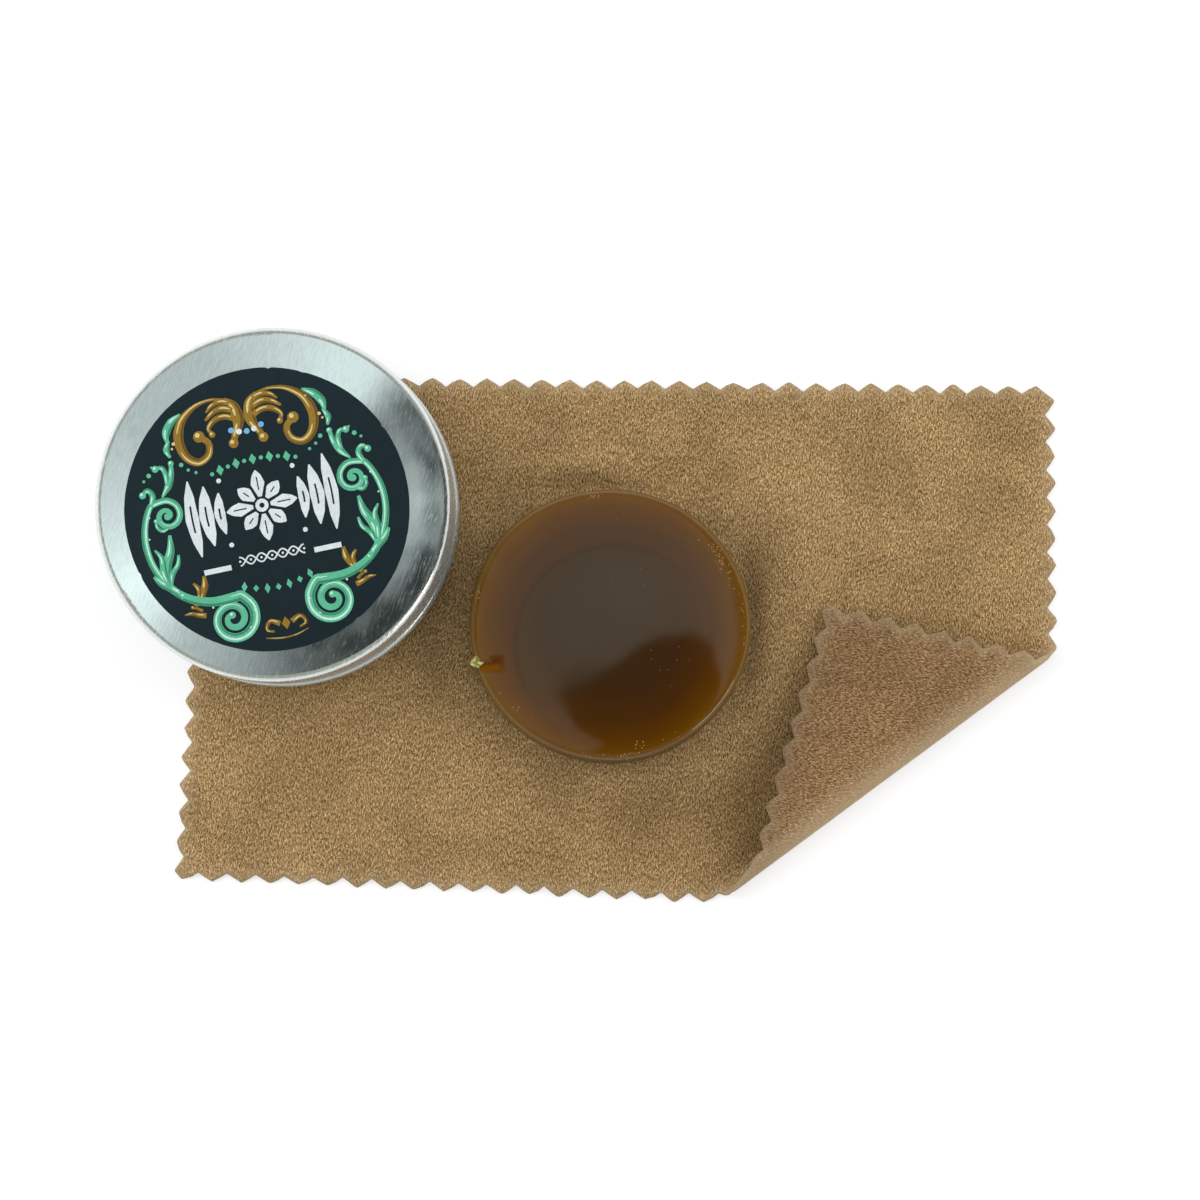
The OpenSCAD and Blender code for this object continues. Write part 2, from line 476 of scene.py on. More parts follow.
def pinked(path, first, pitch, last_gap, swell=lambda run: 0.0):
    """Points of one pinked side, swelling outwards: rounded, slightly uneven teeth along a path.

    The first tip comes at a given run, and no tooth starts within the last gap.
    """
    at, total = along_path(path)
    points = []

    def add(run, depth):
        p, out = at(run)
        points.append(p + out * (swell(run) - depth))

    run = first
    while run < total - last_gap:
        tip = run + draw.uniform(-0.16, 0.16)
        height = draw.uniform(-0.14, 0.16)
        blunt = draw.uniform(0.22, 0.5)
        add(tip - blunt, TOOTH_WEAR + height)
        add(tip + draw.uniform(-0.1, 0.1), 0.02 + height)
        add(tip + blunt, TOOTH_WEAR + height)
        if run + pitch < total - last_gap:
            low = run + pitch / 2 + draw.uniform(-0.14, 0.14)
            depth = TOOTH_DEPTH + draw.uniform(-0.14, 0.16)
            add((tip + blunt + low) / 2, (depth + TOOTH_WEAR + height) / 2 + draw.uniform(-0.05, 0.05))
            add(low - 0.13, depth)
            add(low + 0.13, depth)
            rise = run + pitch - 0.4
            add((low + rise) / 2, depth / 2 + draw.uniform(-0.05, 0.05))
        run += pitch
    return points


def cloth_outline():
    """The flat cut, clockwise from the back left corner."""
    back = pinked([BACK_LEFT, BACK_RIGHT], 1.07, BACK_PITCH, 2.6)
    turned_right = FOLD_END + HIDDEN_RIGHT * unit(FOLDED_CORNER - FOLD_END)
    right = pinked([BACK_RIGHT, FOLD_END, turned_right], 2.8, BACK_PITCH, 0.6)
    last_run = np.linalg.norm(FOLDED_CORNER - turned_right) - 1.7
    right += pinked([turned_right, FOLDED_CORNER], last_run % BACK_PITCH, BACK_PITCH, 1.0)
    turned_front = FOLD_START - HIDDEN_FRONT * unit(FOLD_START - FOLDED_CORNER)
    front = pinked(
        [FOLDED_CORNER, turned_front], 1.6, FLAP_PITCH, 0.4,
        lambda run: -1.1 * (run / 52) ** 1.2,
    )
    rest = np.linalg.norm(FRONT_LEFT - FOLD_START) + HIDDEN_FRONT
    front += pinked(
        [turned_front, FOLD_START, FRONT_LEFT], (rest - 1.65) % FRONT_PITCH, FRONT_PITCH, 1.0,
        lambda run: 0.5 * (rest - run) / rest - max(0.0, 1.4 - run / 4),
    )
    left = pinked([FRONT_LEFT, BACK_LEFT], 1.7, LEFT_PITCH, 1.5)
    return np.array(back + right + front + left)


def fold_coordinates(flat):
    """Run along the fold line, and distance into the cloth from where it lifts."""
    return turn_by(flat - FOLD_START, -FOLD_TURN)


# Soft wrinkles in the frame, in mm: points along the crest, height and half width
WRINKLES = (
    (((-17.5, 26.5), (-8, 27.3), (2, 27.6), (9, 26)), 1.1, 2.3),
    (((-22, 24), (-15.5, 30.5), (-10.5, 38.5), (-8.5, 43.5)), 0.75, 3),
    (((8, 35), (15, 30), (21.5, 24), (26.5, 17)), 0.75, 2.8),
    (((32, 42), (34.5, 30), (36.5, 18), (38, 8), (39, 0)), 0.85, 3.4),
    (((30, -6), (31.5, -14), (27.5, -24), (19, -30.5)), 0.5, 3),
    (((-30, -15), (-22.5, -21.5), (-13, -27.5), (-3, -30.5)), 0.45, 3.2),
    (((-60, -21), (-48, -22.5), (-37, -25.5), (-28, -33)), 0.35, 4),
)
# Painted shade on the nap, beside the flap, round the cake and along wrinkles, in the same way: points
# along it, depth and half width
PAINTED_SHADE = (
    (((39.4, -12.7), (34, -21.6), (29.5, -30.6), (27.7, -37.8), (25.9, -45.5)), 0.66, 6.2),
    (((0.8, -34.5), (11.6, -33.3), (20.6, -31.5), (26, -31)), 0.36, 5.2),
    (((-3, -33), (11.6, -38.3), (26, -41.5)), 0.26, 8),
    (((30.1, 13.3), (30.6, 3.5), (30.6, -3.7), (29.5, -10.9)), 0.7, 2.2),
    (((-8.1, 23.7), (0.8, 25), (8.9, 23.9)), 0.5, 2.6),
    (((21.5, 23), (24, 25.6), (27.5, 28.6)), 0.42, 3.5),
    (((45.4, 1.7), (61.8, -1.9), (80.5, -5.7)), 0.34, 3.2),
    (((-2.6, 38.8), (10.6, 38), (24.6, 37.2)), 0.18, 5),
)
ROUGH_LIFT = 0.28


def ridges(plan, lines):
    """Sum, at points in plan, of soft-sided lines that fade out towards their ends."""
    total = np.zeros(len(plan))
    for crest, top, width in lines:
        crest = np.array(crest, float)
        best, share = np.full(len(plan), 1e9), np.zeros(len(plan))
        for i, (a, b) in enumerate(zip(crest, crest[1:])):
            d = b - a
            t = np.clip(((plan - a) @ d) / (d @ d), 0, 1)
            gap = np.linalg.norm(plan - a - t[:, None] * d, axis=1)
            near = gap < best
            best = np.where(near, gap, best)
            share = np.where(near, (i + t) / (len(crest) - 1), share)
        fade = np.sin(pi * np.clip(0.12 + 0.76 * share, 0, 1))
        total += top * fade * np.exp(-((best / width) ** 2))
    return total


def lift_of(plan):
    """How far the cloth's soft wrinkles lift it off the table at points in plan."""
    height = ridges(plan, WRINKLES)
    rough = np.array([
        noise.noise((x / 17, y / 17, 3.1)) * 0.6 + noise.noise((x / 8, y / 8, 9.4)) * 0.3
        for x, y in plan
    ])
    height += ROUGH_LIFT * (rough + 0.55)
    for middle, radius, margin in ((CAKE, 25.2, 2.6), (TIN, 29.5, 4.0)):
        gap = np.linalg.norm(plan - middle, axis=1) - radius
        step = np.clip(gap / margin, 0, 1)
        height *= step * step * (3 - 2 * step)
    return height


def lay(flat):
    """Middle surface of the cloth: lying flat, round the roll, then sloping down as the flap."""
    run, into = fold_coordinates(flat).T
    angle = np.clip(-into / FOLD_R, 0, pi) * (1 + FLAP_SLOPE / pi)
    past = np.clip(-into - ROLL_RUN, 0, None)
    slope = pi + FLAP_SLOPE
    y = np.where(into >= 0, into, -FOLD_R * np.sin(angle) - past * cos(slope))
    z = FOLD_R * (1 - np.cos(angle)) + past * sin(slope)
    swell = 0.5 * np.sin(np.clip(past / 31.0, 0, 1) * pi) ** 2
    plan = turn_by(np.stack([run, y], -1), FOLD_TURN) + FOLD_START
    placed_plan = turn_by(plan, CLOTH_TURN) + CLOTH_MID
    loose = np.where(into >= 0, np.clip(into / 4, 0, 1), np.clip(past / 6, 0, 1))
    z = z + swell + CLOTH_T / 2 + lift_of(placed_plan) * loose
    return np.concatenate([placed_plan, z[:, None]], 1)


def vertex_normals(points, faces):
    """Unit normals of a triangulated surface, at its points."""
    normals = np.zeros_like(points)
    a, b, c = (points[faces[:, i]] for i in range(3))
    face = np.cross(b - a, c - a)
    for i in range(3):
        np.add.at(normals, faces[:, i], face)
    return normals / np.linalg.norm(normals, axis=1)[:, None]


def flat_points(loop):
    """Points inside the cut: an uneven grid, with closer rows along the roll."""
    step = 1.25
    grid = np.array([
        ((i + 0.5 * (j % 2)) * step + draw.uniform(-0.2, 0.2), j * step * 0.9 + draw.uniform(-0.2, 0.2))
        for j in range(-44, 45)
        for i in range(-68, 69)
    ])
    near_roll = np.abs(fold_coordinates(grid)[:, 1] + ROLL_RUN / 2) < ROLL_RUN / 2 + 1.4
    rows = [
        (run + 0.5 * (k % 2), into)
        for k, into in enumerate(np.arange(1.0, -ROLL_RUN - 1.2, -0.5))
        for run in np.arange(-2.0, 90.0, 1.0)
    ]
    rows = turn_by(np.array(rows), FOLD_TURN) + FOLD_START
    inner = np.concatenate([grid[~near_roll], rows])
    inner = inner[inside(inner, loop)]
    return inner[distance_to(inner, loop) > 0.45]


def add_cloth():
    """The sheet: both faces of the laid cloth, thinner at the cut, and the wall between them."""
    loop = cloth_outline()
    cut_lines = [(i, (i + 1) % len(loop)) for i in range(len(loop))]
    flat, faces, rim = triangulated(loop, flat_points(loop), cut_lines, 1e-6)
    middle = lay(flat)
    normals = vertex_normals(middle, faces)
    edge = distance_to(flat, loop)
    thin = CLOTH_T / 2 * (1 - 0.35 * np.exp(-edge / 0.5))
    nap = np.array([noise.noise((x / 2.3, y / 2.3, 5.0)) for x, y in flat]) * 0.03
    top = middle + normals * (thin + nap)[:, None]
    low = middle - normals * (thin + nap)[:, None]
    low[:, 2] = np.maximum(low[:, 2], 0.005)
    count = len(flat)
    points = np.concatenate([top, low])
    walls = [(a, b, b + count, a + count) for a, b in zip(rim, rim[1:] + rim[:1])]
    cloth = link_mesh("cloth_sheet", points, [*faces, *(faces[:, ::-1] + count), *walls])
    side = np.repeat([0.0, BACK_PATTERN], count)
    pattern = np.stack([*np.tile(flat, (2, 1)).T, side], 1)
    cut = cloth.data.attributes.new("cut", "FLOAT_VECTOR", "POINT")
    cut.data.foreach_set("vector", pattern.astype(np.float32).ravel())
    into = np.tile(fold_coordinates(flat)[:, 1], 2)
    point_values(cloth, "back", side / BACK_PATTERN)
    # Painted glow near the cut edge, of light from the white table bleeding round the cloth
    point_values(cloth, "rim", np.tile(np.exp(-edge / 0.9), 2))
    # Paler opened nap round the roll, with a painted glow of light from the white table on it
    point_values(cloth, "fold_nap_and_glow", np.exp(-(((into + ROLL_RUN * 0.62) / (ROLL_RUN * 0.34)) ** 2)))
    # Painted shade beside the flap, round the cake and along wrinkles
    point_values(cloth, "painted_shade", np.tile(ridges(middle[:, :2], PAINTED_SHADE), 2))
    cloth.data.materials.append(cloth_material())
    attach(cloth, "cloth")
    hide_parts("polishing_cloth")


def cloth_material():
    """Short brushed nap: flecks along one stroke, soft zones, a painted glow along the cut edge, a fold
    with paler opened nap and a painted glow on it, painted shade beside the flap, round the cake and
    along wrinkles, and a darker back.
    """
    mat, tree, shader = new_material("microsuede_tan")
    cut = attribute(tree, "cut", "Vector")
    back, rim, fold_nap_and_glow, painted_shade = (attribute(tree, name) for name in ("back", "rim", "fold_nap_and_glow", "painted_shade"))
    stroke = placed(tree, cut, turn=(0, 0, radians(-52)), scale=(1.0, 0.42, 1.0))
    fleck = noise_of(tree, stroke, 4.2, 2.0, 0.62, 0.45)
    grain = noise_of(tree, cut, 6.0, 1.0, 0.6, 0.3)
    mottle = noise_of(tree, cut, 0.55, 3.0, 0.55, 0.4)
    zone = noise_of(tree, placed(tree, cut, move=(31, 12, 0)), 0.055, 3.0, 0.5, 0.5)
    grain = times(tree, grain, 0.38)
    pile = plus(tree, times(tree, fleck, 0.62), grain)
    tone = ramp(tree, pile, (
        (0.38, (0.07, 0.037, 0.011)),
        (0.46, (0.206, 0.121, 0.044)),
        (0.54, (0.387, 0.249, 0.107)),
        (0.63, (0.682, 0.488, 0.258)),
    ))
    shade = ramp(tree, mottle, ((0.3, 0.9), (0.7, 1.08)))
    zones = ramp(tree, zone, ((0.38, 0.86), (0.5, 0.99), (0.62, 1.07)), "EASE")
    tone = tinted(tree, tinted(tree, tone, shade), zones)
    tone = mix(tree, back, tone, tinted(tree, tone, (0.775, 0.71, 0.745)))
    # Painted glow near the cut edge, of light from the white table bleeding round the cloth
    tone = mix(tree, times(tree, rim, 0.4), tone, (0.56, 0.43, 0.27))
    # Paler opened nap round the roll, with a painted glow of light from the white table on it
    tone = mix(tree, times(tree, fold_nap_and_glow, 0.55), tone, (0.62, 0.47, 0.29))
    # Painted shade: the nap darkened where shadow falls beside the flap, round the cake and along
    # wrinkles
    tone = mix(tree, painted_shade, tone, tinted(tree, tone, (0.35, 0.32, 0.28)))
    feed(tree, shader, {
        "Base Color": tone,
        "Roughness": 0.95,
        "Specular IOR Level": 0.15,
        "Sheen Weight": 0.25,
        "Sheen Roughness": 0.45,
        "Sheen Tint": (0.75, 0.6, 0.4, 1),
        "Normal": bump_of(tree, pile, 0.55, 0.00016),
    })
    return mat


add_cloth()

# -------------------- the rosin cake

CAKE_A, CAKE_B = 25.1, 24.3
CAKE_TILT = radians(-5)
CHIP = np.array([-21.4, -6.6])  # where the sprue broke off, from the cake's middle
TONE_RADIUS = 24.3  # the radius that the rosin's tones and reflected ring are spread over


def cake_radius(theta):
    """Radius of the cake's foot at an angle: slightly oval, as it was cast."""
    t = theta - CAKE_TILT
    oval = CAKE_A * CAKE_B / hypot(CAKE_B * cos(t), CAKE_A * sin(t))
    return oval + 0.07 * sin(3 * theta + 0.6) + 0.05 * sin(5 * theta + 2.0)


def groove_depth(x, y):
    """How much of its full depth the short stepped groove beside the sprue has at a point."""
    x, y = x - CHIP[0], y - CHIP[1]
    low = exp(-(((x - 0.6) / 2.0) ** 6) - ((y + 0.75) / 0.74) ** 6)
    step = exp(-(((x - 1.85) / 0.9) ** 6) - ((y - 0.2) / 0.74) ** 6)
    return max(low, 0.9 * step)


def dome_drop(x, y, share):
    """How far the top lies under its full height: a low dome, a cast groove and faint ripples."""
    drop = 0.42 * share**2 + 0.35 * share**8
    dx, dy = x - CHIP[0], y - CHIP[1]
    gap = hypot(dx - 2.0, dy - 1.0)
    ripple = 0.012 * cos(gap * 5.2) * exp(-(((gap - 2.9) / 1.5) ** 2))
    ripple *= 1 - groove_depth(x, y)
    return drop + 0.5 * groove_depth(x, y) + ripple + 0.012 * noise.noise((x / 6.0, y / 6.0, 2.0))


def cake_profile():
    """The rings of the cake from the middle of its top to the middle of its foot: kind and share."""
    rings = [("top", i / 90) for i in range(91)]
    rings += [("rim", i / 10) for i in range(1, 11)]
    rings += [("side", i / 16) for i in range(1, 17)]
    return rings + [("foot", i / 4) for i in range(1, 5)]


def cake_point(kind, share, theta):
    height, rim_r, draft = CAKE_TOP - CAKE_FOOT, 1.2, 0.7
    foot = cake_radius(theta)
    flat = foot - draft - rim_r
    if kind == "top":
        r, z = flat * share, height
    elif kind == "rim":
        angle = share * pi / 2
        r, z = flat + rim_r * sin(angle), height - rim_r * (1 - cos(angle))
    elif kind == "side":
        z = (height - rim_r) * (1 - share) + 0.5 * share
        uneven = noise.noise((cos(theta) * 9, sin(theta) * 9, z * 0.5))
        r = foot - draft * z / height + 0.05 * uneven
    else:
        r, z = (foot - 0.35) * (1 - share), 0.0
    x, y = r * cos(theta), r * sin(theta)
    if kind in ("top", "rim"):
        z -= dome_drop(x, y, r / foot)
    return x + CAKE[0], y + CAKE[1], z + CAKE_FOOT


def add_cake():
    """A cast disc: slightly domed glossy top, soft rim, drafted dusty side and flat foot."""
    segments = 420
    rings = cake_profile()
    inner, dust = rings[1:-1], [0.0]
    points = [cake_point(*rings[0], 0.0)]
    for kind, share in inner:
        points += [cake_point(kind, share, 2 * pi * k / segments) for k in range(segments)]
        dust += [{"top": 0.0, "rim": 0.6 if share > 0.95 else 0.0}.get(kind, 1.0)] * segments
    points.append(cake_point(*rings[-1], 0.0))
    dust.append(1.0)
    cake = link_mesh("rosin_disc", points, shell_faces(len(inner), segments, False))
    point_values(cake, "dust", dust)
    point_values(cake, "groove", [groove_depth(p[0] - CAKE[0], p[1] - CAKE[1]) for p in points])
    cake.data.materials.append(cake_material())
    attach(cake, "cake")
    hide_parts("rosin_cake")


def cake_material():
    """Dark amber rosin, clearer and redder towards the rim, with a painted reflected ring on its top and
    a dusty side.
    """
    mat, tree, shader = new_material("rosin_amber")
    dust, groove = attribute(tree, "dust"), attribute(tree, "groove")
    local = in_millimetres(tree, move=(-CAKE[0], -CAKE[1], -CAKE_FOOT))
    parts = put(tree, "ShaderNodeSeparateXYZ", {0: local})
    flat = put(tree, "ShaderNodeCombineXYZ", {0: parts.outputs[0], 1: parts.outputs[1]}).outputs[0]
    cloud = noise_of(tree, local, 0.12, 2.0)
    radius = put(tree, "ShaderNodeVectorMath", {0: flat}, operation="LENGTH").outputs["Value"]
    share = maths(tree, "DIVIDE", radius, TONE_RADIUS)
    uneven = times(tree, maths(tree, "SUBTRACT", cloud, 0.5), 0.08)
    share = plus(tree, share, uneven)
    # Darkest in the middle, redder and clearer outwards
    tone = ramp(tree, share, (
        (0.0, (0.035, 0.0165, 0.005)),
        (0.5, (0.039, 0.016, 0.0042)),
        (0.72, (0.0575, 0.0195, 0.0024)),
        (0.86, (0.088, 0.0305, 0.001)),
        (0.94, (0.118, 0.0465, 0.0012)),
        (1.0, (0.145, 0.076, 0.005)),
    ))
    # Painted reflection: a dark line, paler inside, on the upper left of an inner ring
    inner = placed(tree, flat, move=(-0.8, 3.5, 0))
    ring = put(tree, "ShaderNodeVectorMath", {0: inner}, operation="LENGTH").outputs["Value"]
    line = ramp(tree, maths(tree, "DIVIDE", ring, TONE_RADIUS), (
        (0.6, (0.94, 1.08, 1.25)),
        (0.67, (0.94, 1.08, 1.25)),
        (0.705, (0.8, 0.78, 0.76)),
        (0.75, (1.06, 0.98, 0.95)),
        (0.82, (1.0, 1.0, 1.0)),
    ))
    across = maths(tree, "SUBTRACT", parts.outputs[1], parts.outputs[0])
    across = plus(tree, times(tree, across, 0.018), 0.5)
    upper = ramp(tree, across, ((0.28, 0.0), (0.66, 1.0)), "EASE")
    tone = tinted(tree, tone, mix(tree, upper, (1, 1, 1), line))
    # Clear amber in the groove, redder towards its step
    height = times(tree, plus(tree, parts.outputs[1], 8.0), 0.5)
    amber = ramp(tree, height, ((0.4, (0.15, 0.05, 0.001)), (0.7, (0.1, 0.019, 0.001))), "EASE")
    tone = mix(tree, groove, tone, amber)
    # Rosin dust on the side
    grey = noise_of(tree, local, 1.6, 3.0, 0.6)
    dusty = mix(tree, grey, (0.085, 0.048, 0.014), (0.21, 0.145, 0.065))
    tone = mix(tree, times(tree, dust, 0.6), tone, dusty)
    dull = maths(tree, "MAXIMUM", groove, dust)
    feed(tree, shader, {
        "Base Color": tone,
        "Roughness": plus(tree, times(tree, dust, 0.45), 0.055),
        "IOR": 1.53,
        "Specular IOR Level": maths(tree, "SUBTRACT", 0.5, times(tree, dull, 0.45)),
        "Subsurface Weight": 0.12,
        "Subsurface Radius": (1.0, 0.45, 0.12),
        "Subsurface Scale": 0.003,
    })
    return mat


def blob(centre, radii, segments, rings, rough=0.0):
    """Points and faces of one closed rounded lump."""
    points = [(0.0, 0.0, -1.0)]
    for j in range(1, rings):
        lat = -pi / 2 + pi * j / rings
        points += [
            (cos(lat) * cos(t), cos(lat) * sin(t), sin(lat))
            for t in np.linspace(0, 2 * pi, segments, endpoint=False)
        ]
    points = np.array([*points, (0.0, 0.0, 1.0)])
    if rough:
        lumps = [noise.noise(Vector(p) * 1.7 + Vector((3, 1, 2))) for p in points]
        points *= 1 + rough * np.array(lumps)[:, None]
    return points * radii + centre, shell_faces(rings - 1, segments, True)


def top_of_cake(x, y):
    theta = atan2(y, x)
    return CAKE_TOP - dome_drop(x, y, hypot(x, y) / cake_radius(theta))


def add_bubbles():
    """Tiny bubbles caught under the surface near the rim, in loose clusters along it."""
    # middle angle of each cluster, spread of angle, radius and its spread, count
    clusters = (
        (-84, 6, 23, 0.35, 16), (-77, 3, 21.9, 0.5, 9), (-98, 9, 22.9, 0.3, 7),
        (-60, 8, 22.4, 0.5, 4), (97, 3, 22.6, 0.35, 14), (33, 8, 22.2, 0.55, 34),
        (22, 7, 22.6, 0.5, 12), (10, 6, 23.2, 0.3, 5), (-5, 10, 23.4, 0.3, 5),
        (-140, 14, 22.4, 0.8, 5), (165, 9, 22.8, 0.5, 4), (-30, 30, 12, 6, 8),
        (60, 40, 12, 6, 5),
    )
    points, faces, count = [], [], 0
    for angle, spread, radius, band_width, number in clusters:
        for _ in range(number):
            theta = radians(draw.gauss(angle, spread / 2))
            r = min(draw.gauss(radius, band_width), 23.5)
            size = draw.uniform(0.06, 0.15) if radius > 15 else draw.uniform(0.05, 0.08)
            x, y = r * cos(theta), r * sin(theta)
            centre = (CAKE[0] + x, CAKE[1] + y, top_of_cake(x, y))
            lump, sides = blob(centre, (size, size, 0.3 * size), 8, 4)
            points.append(lump)
            faces += [tuple(count + i for i in f) for f in sides]
            count += len(lump)
    bubbles = link_mesh("rosin_bubbles", np.concatenate(points), faces)
    mat, tree, shader = new_material("rosin_bubble")
    where = put(tree, "ShaderNodeTexCoord").outputs["Object"]
    speck = noise_of(tree, where, 900.0, 1.0)
    tone = mix(tree, speck, (0.22, 0.105, 0.018), (0.42, 0.26, 0.09))
    feed(tree, shader, {"Base Color": tone, "Roughness": 0.35})
    bubbles.data.materials.append(mat)
    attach(bubbles, "cake")


def add_sprue():
    """The pale broken nub on the rim where the cake left its mould, with a painted greenish-yellow
    highlight on it.
    """
    centre = (CAKE[0] + CHIP[0] - 1.55, CAKE[1] + CHIP[1] + 0.1, CAKE_TOP - 1.35)
    points, faces = blob(centre, (1.15, 0.95, 0.9), 28, 18, rough=0.5)
    nub = link_mesh("rosin_sprue", points, faces)
    mat, tree, shader = new_material("rosin_pale_painted_glint")
    where = put(tree, "ShaderNodeTexCoord").outputs["Object"]
    cloud = noise_of(tree, where, 1400.0, 3.0, 0.6)
    # Painted highlight: the palest greenish-yellow stops stand in for the glint on the nub
    stops = ((0.35, (0.16, 0.13, 0.015)), (0.5, (0.36, 0.36, 0.1)), (0.65, (0.75, 0.78, 0.42)))
    tone = ramp(tree, cloud, stops, "EASE")
    bump = bump_of(tree, cloud, 0.6, 0.0001)
    feed(tree, shader, {"Base Color": tone, "Roughness": 0.25, "Normal": bump})
    nub.data.materials.append(mat)
    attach(nub, "cake")


add_cake()
add_bubbles()
add_sprue()

# -------------------- the tin

GRAIN_TURN = radians(108)
SIDE_RAMP = 25.0  # the height in mm that the ramp between side and top runs over


def tin_material():
    """Rolled tinplate: short fine scratches one way, a slight waver, and duller drawn sides."""
    mat, tree, shader = new_material("tinplate_brushed")
    local = in_millimetres(tree)
    lined = placed(tree, local, turn=(0, 0, GRAIN_TURN))
    scratch = noise_of(tree, placed(tree, lined, scale=(0.45, 3.4, 2.5)), 1.0, 3.0, 0.65, 0.3)
    broad = noise_of(tree, placed(tree, lined, scale=(0.07, 0.8, 0.5)), 1.0, 3.0, 0.55)
    height = put(tree, "ShaderNodeSeparateXYZ", {0: local}).outputs[2]
    height = times(tree, height, 1 / SIDE_RAMP)
    side = ramp(tree, height, ((0.0, 1.0), (0.785, 1.0), (0.825, 0.0)))
    bright = ramp(tree, scratch, ((0.35, 0.0), (0.65, 1.0)))
    tone = mix(tree, bright, (0.8, 0.84, 0.84), (0.98, 1.0, 1.0))
    tone = mix(tree, times(tree, side, 0.8), tone, (0.52, 0.56, 0.55))
    rough = ramp(tree, scratch, ((0.34, 0.05), (0.52, 0.12), (0.7, 0.5)))
    wave = noise_of(tree, local, 0.13, 2.0, 0.5, 0.4)
    fine = bump_of(tree, scratch, 0.7, 0.00002)
    mid = bump_of(tree, broad, 0.6, 0.00004, fine)
    feed(tree, shader, {
        "Base Color": tone,
        "Metallic": maths(tree, "SUBTRACT", 1.0, times(tree, side, 0.3)),
        "Roughness": plus(tree, rough, times(tree, side, 0.14)),
        "Normal": bump_of(tree, wave, 1.0, 0.00008, mid),
    })
    return mat


TINPLATE = tin_material()
for part in ("tin_base", "tin_lid"):
    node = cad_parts[part]
    node.data.materials.clear()
    node.data.materials.append(TINPLATE)

# -------------------- the printed lid label

LABEL_R = 24.3
LABEL_TURN = radians(12)
EDGE_NICKS = (0.42, 1.12, 1.36, 3.42, 5.2)  # angles of small nicks in the cut edge
PATH_STEP = 0.38  # spacing of the points along a printed curve
PRINT_SHIFT = np.array([-0.7, 0.0])  # the print sits a little off the label's middle
INKS = {
    "ground": (0.0075, 0.0165, 0.0212),
    "mint_shade": (0.035, 0.205, 0.12),
    "mint": (0.095, 0.42, 0.25),
    "mint_light": (0.46, 0.72, 0.6),
    "gold_shade": (0.12, 0.064, 0.01),
    "gold": (0.25, 0.146, 0.02),
    "gold_light": (0.62, 0.5, 0.21),
    "white": (0.6, 0.655, 0.665),
    "sky": (0.15, 0.39, 0.62),
}


def smooth_path(points):
    """Evenly spaced points on a Catmull-Rom curve, with each point's share of the whole run."""
    before, after = (2 * np.array(points[i]) - points[j] for i, j in ((0, 1), (-1, -2)))
    knots = np.array([before, *points, after], float)
    fine = []
    for p0, p1, p2, p3 in zip(knots, knots[1:], knots[2:], knots[3:]):
        for t in np.arange(0, 1, 0.05):
            squared = 2 * p0 - 5 * p1 + 4 * p2 - p3
            cubed = 3 * p1 - p0 - 3 * p2 + p3
            fine.append(0.5 * (2 * p1 + (p2 - p0) * t + squared * t * t + cubed * t**3))
    fine.append(knots[-2])
    fine = np.array(fine)
    run = np.concatenate([[0], np.cumsum(np.linalg.norm(np.diff(fine, axis=0), axis=1))])
    share = np.linspace(0, 1, max(int(run[-1] / PATH_STEP), 4) + 1)
    return np.stack([np.interp(share * run[-1], run, fine[:, i]) for i in (0, 1)], 1), share


def curl(centre, radius, start, turns, inner=0.16):
    """Points of a plain spiral that winds inwards from a start angle in degrees."""
    steps = np.linspace(0, 1, max(int(abs(turns) * 10), 4))
    angles = radians(start) + steps * turns * 2 * pi
    r = radius * (1 - (1 - inner) * steps**0.9)
    return [(centre[0] + a * cos(b), centre[1] + a * sin(b)) for a, b in zip(r, angles)]


def band(marks, ink, path, share, width, span=(0.0, 1.0), shift=0.0, part=1.0):
    """A ribbon of quads along a path: part of its width, moved sideways by a share of it."""
    step = np.gradient(path, axis=0)
    out = np.stack([-step[:, 1], step[:, 0]], 1) / np.linalg.norm(step, axis=1)[:, None]
    chosen = (share >= span[0]) & (share <= span[1])
    if chosen.sum() < 3:
        return
    local = (share[chosen] - span[0]) / (span[1] - span[0])
    taper = np.sin(np.clip(local, 0, 1) * pi) ** 0.6 if part < 1 else 1
    middle = path[chosen] + out[chosen] * (width[chosen] * shift)[:, None]
    half = (width[chosen] * part * taper / 2 + 0.01)[:, None]
    left, right = middle + out[chosen] * half, middle - out[chosen] * half
    for a, b, c, d in zip(left, left[1:], right[1:], right):
        marks.append((ink, [d, c, b, a]))


def disc(marks, ink, centre, radius):
    marks.append((ink, [
        (centre[0] + radius * cos(a), centre[1] + radius * sin(a))
        for a in np.linspace(0, 2 * pi, 12, endpoint=False)
    ]))


def lozenge(marks, ink, centre, wide, high, turn=0.0):
    corners = [(wide / 2, 0), (0, high / 2), (-wide / 2, 0), (0, -high / 2)]
    marks.append((ink, list(turn_by(corners, radians(turn)) + centre)))


def scroll(marks, ink, points, widths, ball=0.0):
    """A painted scroll: its body, a shaded edge, a light edge and a ball at its end."""
    path, share = smooth_path(points)
    width = np.interp(share, np.linspace(0, 1, len(widths)), widths)
    band(marks, ink, path, share, width)
    if ball:
        disc(marks, ink, path[-1], ball)
    if ink in ("mint", "gold"):
        side = 1 if (np.gradient(path, axis=0)[len(path) // 2] @ (1.0, 1.0)) > 0 else -1
        band(marks, ink + "_shade", path, share, width, (0.1, 0.92), -0.34 * side, 0.26)
        band(marks, ink + "_light", path, share, width, (0.06, 0.46), 0.16 * side, 0.24)
        band(marks, ink + "_light", path, share, width, (0.58, 0.9), 0.16 * side, 0.24)
        if ball:
            disc(marks, ink + "_light", path[-1] + (-0.22 * ball, 0.3 * ball), 0.42 * ball)


def leaf(marks, points, places, widths, line, span):
    """A white leaf with a dark line along its middle."""
    path, share = smooth_path(points)
    band(marks, "white", path, share, np.interp(share, places, widths))
    band(marks, "ground", path, share, np.full(len(share), line), span)


